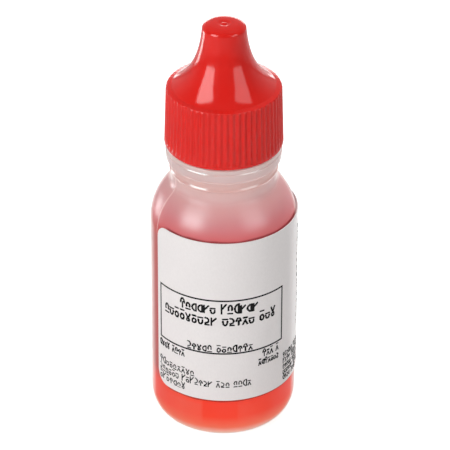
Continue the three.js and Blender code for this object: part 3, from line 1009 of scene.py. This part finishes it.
def build_cap():
    """The screw cap, with ribs cut into its skirt and a thread raised inside it."""
    foot, ribbed, top, inside = cap_profile()

    def shape(r, z, angle):
        if r > CAP_RIM_R and z > CAP_FOOT_Z:
            return rib_cut(r, z, angle), z
        if abs(r - CAP_BORE_R) < 1e-6 and z < CAP_THREAD_TOP_Z + 0.1:
            return r - thread_height(z, angle, CAP_THREAD_START_Z, *CAP_THREAD), z
        return r, z

    profile = foot + ribbed + top + inside
    obj = revolve("ribbed_cap", profile, even_columns(480), cap_material(), shape)
    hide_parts("screw_cap")
    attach(obj, "cap_body")


# ---- stage -------------------------------------------------------------------------------


def area_light(name, azimuth, distance, height, size, radiance, lights, aim=0.05, roll=0):
    """A softbox standing at an azimuth from the front and pointed at a height on the axis. It
    either lights surfaces or shows in reflections; roll turns it about its own direction."""
    turn = math.radians(azimuth)
    place = Vector((math.sin(turn) * distance, -math.cos(turn) * distance, height))
    data = bpy.data.lights.new(name, "AREA")
    data.shape = "RECTANGLE"
    data.size, data.size_y = size
    data.energy = radiance * math.pi * data.size * data.size_y
    obj = bpy.data.objects.new(name, data)
    obj.visible_camera = False
    obj.visible_diffuse = lights == "surfaces"
    obj.visible_glossy = lights == "reflections"
    obj.location = place
    look = (Vector((0, 0, aim)) - place).to_track_quat("-Z", "Y").to_matrix()
    obj.rotation_euler = (look @ Matrix.Rotation(math.radians(roll), 3, "Z")).to_euler()
    bpy.context.scene.collection.objects.link(obj)


def sky_step(tree, source, between, values):
    """A smooth step of the studio's brightness from one value to another."""
    made = tree.nodes.new("ShaderNodeMapRange")
    made.interpolation_type = "SMOOTHSTEP"
    for key, value in zip(("From Min", "From Max", "To Min", "To Max"), between + values):
        made.inputs[key].default_value = value
    tree.links.new(source, made.inputs["Value"])
    return made.outputs["Result"]


def build_floor():
    """A plain floor that the camera sees as almost white, without lighting the bottle more."""
    mesh = bpy.data.meshes.new("floor")
    half = 6.0
    corners = [(-half, -half, 0), (half, -half, 0), (half, half, 0), (-half, half, 0)]
    mesh.from_pydata(corners, [], [(0, 1, 2, 3)])
    floor = bpy.data.objects.new("floor", mesh)
    bpy.context.scene.collection.objects.link(floor)
    paint = Paint("pale_floor", Roughness=0.9)
    shade = paint.spread(paint.noise(60.0), 0, 1)
    colour = paint.mix(shade, srgb(236, 236, 236), srgb(233, 233, 233))
    paint.join(colour, paint.shader.inputs["Base Color"])
    paint.shader.inputs["Specular IOR Level"].default_value = 0.0
    paint.shader.inputs["Emission Color"].default_value = (1, 1, 1, 1)
    path = paint.node("ShaderNodeLightPath")
    glow = paint.spread(path.outputs["Is Camera Ray"], 0.0, 0.6, 0, 1)
    paint.join(glow, paint.shader.inputs["Emission Strength"])
    mesh.materials.append(paint.material)


def build_sky():
    """Even white surroundings, dimmer towards the camera and overhead."""
    world = bpy.data.worlds.new("studio")
    bpy.context.scene.world = world
    world.use_nodes = True
    nodes, links = world.node_tree.nodes, world.node_tree.links
    back = nodes["Background"]
    back.inputs["Color"].default_value = (1, 1, 1, 1)
    split = nodes.new("ShaderNodeSeparateXYZ")
    links.new(nodes.new("ShaderNodeTexCoord").outputs["Generated"], split.inputs["Vector"])
    behind = sky_step(world.node_tree, split.outputs["Y"], (-0.1, 0.5), (0.3, 0.55))
    above = sky_step(world.node_tree, split.outputs["Z"], (0.3, 0.65), (1.0, 0.6))
    both = nodes.new("ShaderNodeMath")
    both.operation = "MULTIPLY"
    links.new(behind, both.inputs[0])
    links.new(above, both.inputs[1])
    links.new(both.outputs["Value"], back.inputs["Strength"])


def build_lights():
    """Softboxes for the shading, and separate ones for the highlights on the gloss."""
    area_light("left_softbox", -40, 0.62, 0.55, (0.45, 1.0), 2.65, "surfaces", 0.55)
    area_light("right_softbox", 51, 0.62, 0.55, (0.45, 1.0), 0.36, "surfaces", 0.55)
    area_light("top_softbox", 0, 0.02, 1.1, (0.9, 0.9), 1.12, "surfaces")
    area_light("right_rim", 150, 0.62, 0.45, (0.45, 0.9), 1.7, "surfaces")
    area_light("left_glint", -56, 0.585, 0.4675, (0.43, 0.727), 7.2, "reflections", 0.2335, 9)
    area_light("right_glint", 56, 0.585, 0.4675, (0.43, 0.727), 3.1, "reflections", 0.2335, -9)
    area_light("backdrop_glow", 180, 0.40, 0.08, (0.3, 0.16), 3.0, "reflections")
    area_light("left_low_glint", -122, 0.17, 0.012, (0.05, 0.10), 5.5, "reflections", 0.085)


CAMERA_PLACE = (0.00029, -0.6387, 0.4434)  # m
CAMERA_DOWN = 0.5577  # radians below level
CAMERA_ROLL = 0.0032
SENSOR_MM = 36.0
LENS_MM = 283.4


def build_camera():
    data = bpy.data.cameras.new("camera")
    data.sensor_width = SENSOR_MM
    data.lens = LENS_MM
    camera = bpy.data.objects.new("camera", data)
    camera.location = CAMERA_PLACE
    tilt = Matrix.Rotation(math.pi / 2 - CAMERA_DOWN, 3, "X")
    camera.rotation_euler = (tilt @ Matrix.Rotation(CAMERA_ROLL, 3, "Z")).to_euler()
    bpy.context.scene.collection.objects.link(camera)
    bpy.context.scene.camera = camera


build_bottle()
build_liquid()
build_label()
build_print()
build_tip()
build_seal()
build_cap()
build_floor()
build_sky()
build_lights()
build_camera()
bpy.context.scene.view_settings.view_transform = "Standard"
